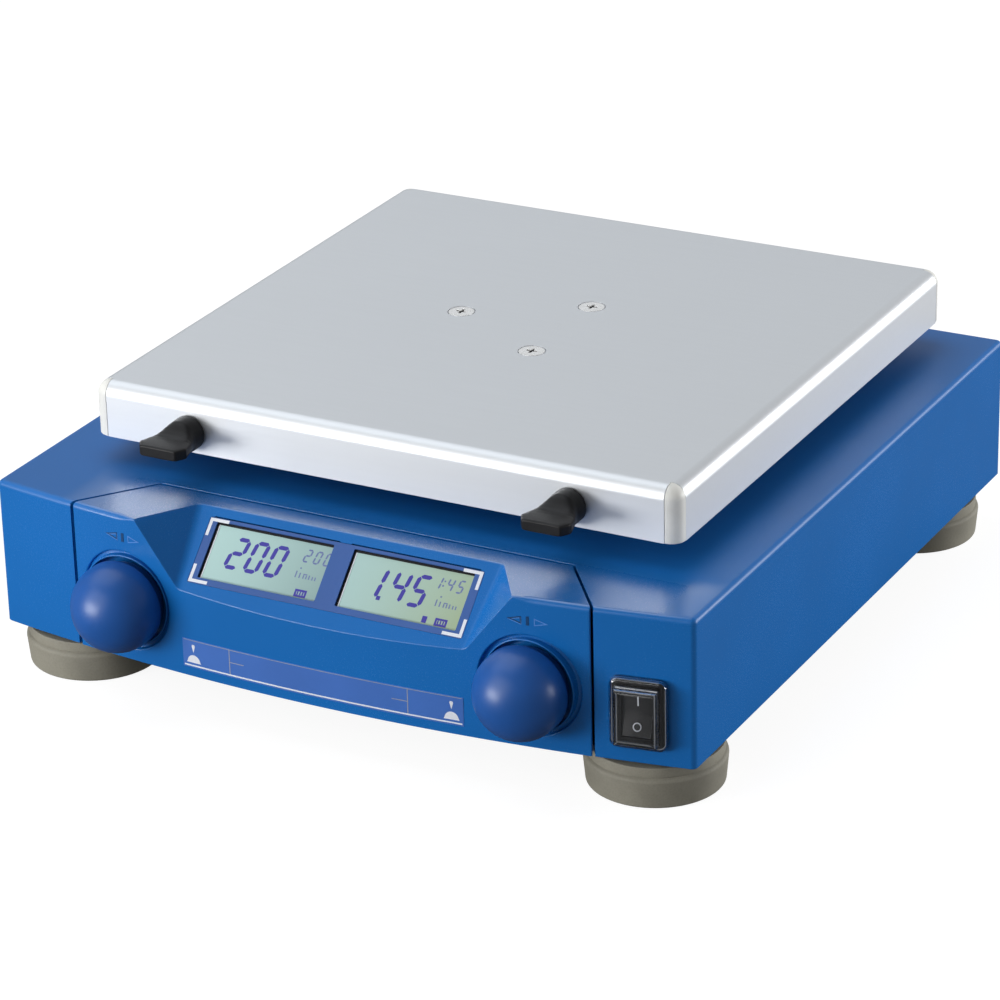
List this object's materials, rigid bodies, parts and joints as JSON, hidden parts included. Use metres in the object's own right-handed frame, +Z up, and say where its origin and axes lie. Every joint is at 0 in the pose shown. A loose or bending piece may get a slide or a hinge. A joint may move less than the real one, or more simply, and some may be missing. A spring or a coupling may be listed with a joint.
{
  "type": "orbital shaker",
  "caption": "Low blue benchtop orbital shaker with a flat aluminium tray, a sloping display between two push-and-turn knobs, a rocker switch and round rubber feet",
  "frame": {"origin": "middle of the footprint box, on the surface that the feet stand on", "axes": "+X right as seen by the user, +Y away from the console, +Z up"},
  "size_m": [0.271, 0.3008, 0.1],
  "materials": {
    "housing_blue": "satin moulded plastic",
    "knob_blue": "satin moulded plastic",
    "film_blue": "matt printed film",
    "foot_rubber": "matt",
    "tray_aluminium": "fine blasted and anodised",
    "corner_grey": "satin",
    "steel": "machined",
    "cast_metal": "as cast",
    "black_plastic": "satin",
    "clear_silicone": "clear and soft",
    "display_cell": "reflective liquid crystal cell",
    "circuit_board": "solder mask",
    "belt_rubber": "matt"
  },
  "bodies": {
    "base": {"housing_cover": "housing_blue", "base_plate": "steel", "foot_front_left": "foot_rubber", "foot_front_right": "foot_rubber", "foot_rear_left": "foot_rubber", "foot_rear_right": "foot_rubber", "foot_screw_front_left": "steel", "foot_screw_front_right": "steel", "foot_screw_rear_left": "steel", "foot_screw_rear_right": "steel", "console_panel": "housing_blue", "display_film": "film_blue", "display_cell_left": "display_cell", "display_cell_right": "display_cell", "display_board": "circuit_board", "encoder_left": "black_plastic", "encoder_right": "black_plastic", "switch_body": "black_plastic", "switch_cover": "clear_silicone", "mains_inlet": "black_plastic", "power_board": "circuit_board", "motor_housing": "black_plastic", "drive_belt": "belt_rubber", "bearing_housing": "cast_metal", "crank_bearing_lower": "steel", "crank_bearing_upper": "steel", "idler_post_1": "cast_metal", "idler_post_2": "cast_metal", "idler_post_3": "cast_metal"},
    "crank": {"crank_shaft": "steel", "crank_pulley": "steel", "counterweight": "cast_metal"},
    "table": {"table_hub": "cast_metal", "hub_bearing": "steel", "carrier_plate": "tray_aluminium", "tray": "tray_aluminium", "corner_front_left": "corner_grey", "corner_front_right": "corner_grey", "corner_rear_left": "corner_grey", "corner_rear_right": "corner_grey", "tray_screw_1": "steel", "tray_screw_2": "steel", "tray_screw_3": "steel"},
    "idler_first": {"idler_crank_1": "steel"},
    "idler_second": {"idler_crank_2": "steel"},
    "idler_third": {"idler_crank_3": "steel"},
    "motor_rotor": {"motor_pulley": "steel"},
    "plunger_left": {"encoder_plunger_left": "steel"},
    "plunger_right": {"encoder_plunger_right": "steel"},
    "dial_left": {"knob_left": "knob_blue", "encoder_shaft_left": "steel"},
    "dial_right": {"knob_right": "knob_blue", "encoder_shaft_right": "steel"},
    "switch_rocker": {"rocker": "black_plastic"},
    "fuse_holder": {"fuse_drawer": "black_plastic"},
    "clamp_left": {"clamp_screw_left": "black_plastic", "clamp_stop_left": "steel"},
    "clamp_right": {"clamp_screw_right": "black_plastic", "clamp_stop_right": "steel"}
  },
  "joints": [
    {"name": "crank_turn", "type": "hinge", "parent": "base", "child": "crank", "pos_m": [0, 0.02645, 0.0166], "axis": [0, 0, 1], "continuous": true},
    {"name": "table_orbit", "type": "hinge", "parent": "crank", "child": "table", "pos_m": [0, 0.02445, 0.0705], "axis": [0, 0, 1], "continuous": true},
    {"name": "idler_turn_1", "type": "hinge", "parent": "base", "child": "idler_first", "pos_m": [0, 0.08845, 0.0166], "axis": [0, 0, 1], "continuous": true},
    {"name": "idler_turn_2", "type": "hinge", "parent": "base", "child": "idler_second", "pos_m": [-0.05369, -0.00455, 0.0166], "axis": [0, 0, 1], "continuous": true},
    {"name": "idler_turn_3", "type": "hinge", "parent": "base", "child": "idler_third", "pos_m": [0.05369, -0.00455, 0.0166], "axis": [0, 0, 1], "continuous": true},
    {"name": "motor_turn", "type": "hinge", "parent": "base", "child": "motor_rotor", "pos_m": [-0.07361, 0.06895, 0.0166], "axis": [0, 0, 1], "continuous": true},
    {"name": "knob_push_left", "type": "slide", "parent": "base", "child": "plunger_left", "axis": [0, 1, 0], "range_m": [0, 0.0015], "stiffness_N_per_m": 900},
    {"name": "knob_push_right", "type": "slide", "parent": "base", "child": "plunger_right", "axis": [0, 1, 0], "range_m": [0, 0.0015], "stiffness_N_per_m": 900},
    {"name": "knob_turn_left", "type": "hinge", "parent": "plunger_left", "child": "dial_left", "pos_m": [-0.0783, -0.12615, 0.0392], "axis": [0, -1, 0], "continuous": true},
    {"name": "knob_turn_right", "type": "hinge", "parent": "plunger_right", "child": "dial_right", "pos_m": [0.0783, -0.12615, 0.0392], "axis": [0, -1, 0], "continuous": true},
    {"name": "rocker_turn", "type": "hinge", "parent": "base", "child": "switch_rocker", "pos_m": [0.11626, -0.12298, 0.03545], "axis": [0.9875, 0.1576, 0], "range_deg": [0, 16]},
    {"name": "fuse_drawer_slide", "type": "slide", "parent": "base", "child": "fuse_holder", "axis": [0, 1, 0], "range_m": [0, 0.014]},
    {"name": "clamp_turn_left", "type": "hinge", "parent": "table", "child": "clamp_left", "pos_m": [-0.0742, -0.08885, 0.0876], "axis": [0, -1, 0], "range_deg": [0, 1440]},
    {"name": "clamp_turn_right", "type": "hinge", "parent": "table", "child": "clamp_right", "pos_m": [0.0742, -0.08885, 0.0876], "axis": [0, -1, 0], "range_deg": [0, 1440]}
  ],
  "couplings": [
    {"joint": "table_orbit", "follows": "crank_turn", "ratio": -1},
    {"joint": "idler_turn_1", "follows": "crank_turn", "ratio": 1},
    {"joint": "idler_turn_2", "follows": "crank_turn", "ratio": 1},
    {"joint": "idler_turn_3", "follows": "crank_turn", "ratio": 1},
    {"joint": "motor_turn", "follows": "crank_turn", "ratio": 2.2727}
  ]
}
